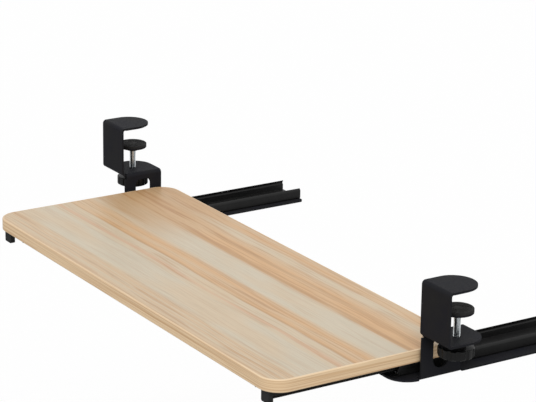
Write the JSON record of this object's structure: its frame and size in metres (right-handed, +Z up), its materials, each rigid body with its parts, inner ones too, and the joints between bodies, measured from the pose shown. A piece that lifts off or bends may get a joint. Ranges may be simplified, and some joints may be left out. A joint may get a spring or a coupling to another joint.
{
  "type": "clamp-on sliding keyboard tray",
  "caption": "Wood-look keyboard tray on ball slides, hung from two screw clamps that grip a desk's front edge.",
  "frame": {"origin": "mid width and mid depth with the tray pulled out, level with the lowest rivet heads", "axes": "+X to the user's right along the tray, +Y from the user towards the desk, +Z up"},
  "size_m": [0.7544, 0.42, 0.1176],
  "materials": {
    "maple_laminate": "satin",
    "maple_edge_band": "satin",
    "board_core": "matte",
    "black_powder_coat": "satin",
    "black_slide_steel": "satin",
    "zinc_plate": "bright",
    "cage_steel": "satin",
    "ball_steel": "polished",
    "black_plastic": "satin",
    "black_rubber": "matte"
  },
  "bodies": {
    "frame": {"right_clamp_bracket": "black_powder_coat", "right_tongue_pad": "black_rubber", "right_weld_nut": "black_powder_coat", "right_outer_rail": "black_slide_steel", "right_rail_rivets": "zinc_plate", "left_clamp_bracket": "black_powder_coat", "left_tongue_pad": "black_rubber", "left_weld_nut": "black_powder_coat", "left_outer_rail": "black_slide_steel", "left_rail_rivets": "zinc_plate"},
    "tray": {"tray_board": "board_core", "tray_laminate": "maple_laminate", "tray_edge_band": "maple_edge_band", "right_inner_rail": "black_slide_steel", "right_board_screws": "zinc_plate", "right_front_stop": "black_rubber", "left_inner_rail": "black_slide_steel", "left_board_screws": "zinc_plate", "left_front_stop": "black_rubber"},
    "right_cage": {"right_ball_cage": "cage_steel", "right_balls": "ball_steel"},
    "right_pad": {"right_pad_plate": "black_powder_coat", "right_pad_rubber": "black_rubber"},
    "right_screw": {"right_clamp_screw": "zinc_plate", "right_clamp_knob": "black_plastic"},
    "left_cage": {"left_ball_cage": "cage_steel", "left_balls": "ball_steel"},
    "left_pad": {"left_pad_plate": "black_powder_coat", "left_pad_rubber": "black_rubber"},
    "left_screw": {"left_clamp_screw": "zinc_plate", "left_clamp_knob": "black_plastic"}
  },
  "joints": [
    {"name": "tray_slide", "type": "slide", "parent": "frame", "child": "tray", "axis": [0, 1, 0], "range_m": [0, 0.1574]},
    {"name": "right_cage_slide", "type": "slide", "parent": "frame", "child": "right_cage", "axis": [0, 1, 0], "range_m": [0, 0.0787]},
    {"name": "right_pad_slide", "type": "slide", "parent": "frame", "child": "right_pad", "axis": [0, 0, 1], "range_m": [-0.02, 0]},
    {"name": "right_screw_turn", "type": "hinge", "parent": "right_pad", "child": "right_screw", "pos_m": [0.35185, 0.0043, 0.0476], "axis": [0, 0, 1], "range_deg": [-5760, 0]},
    {"name": "left_cage_slide", "type": "slide", "parent": "frame", "child": "left_cage", "axis": [0, 1, 0], "range_m": [0, 0.0787]},
    {"name": "left_pad_slide", "type": "slide", "parent": "frame", "child": "left_pad", "axis": [0, 0, 1], "range_m": [-0.02, 0]},
    {"name": "left_screw_turn", "type": "hinge", "parent": "left_pad", "child": "left_screw", "pos_m": [-0.35185, 0.0043, 0.0476], "axis": [0, 0, 1], "range_deg": [-5760, 0]}
  ],
  "couplings": [
    {"joint": "right_cage_slide", "follows": "tray_slide", "ratio": 0.5},
    {"joint": "right_pad_slide", "follows": "right_screw_turn", "m_per_rad": 0.00019894},
    {"joint": "left_cage_slide", "follows": "tray_slide", "ratio": 0.5},
    {"joint": "left_pad_slide", "follows": "left_screw_turn", "m_per_rad": 0.00019894}
  ]
}
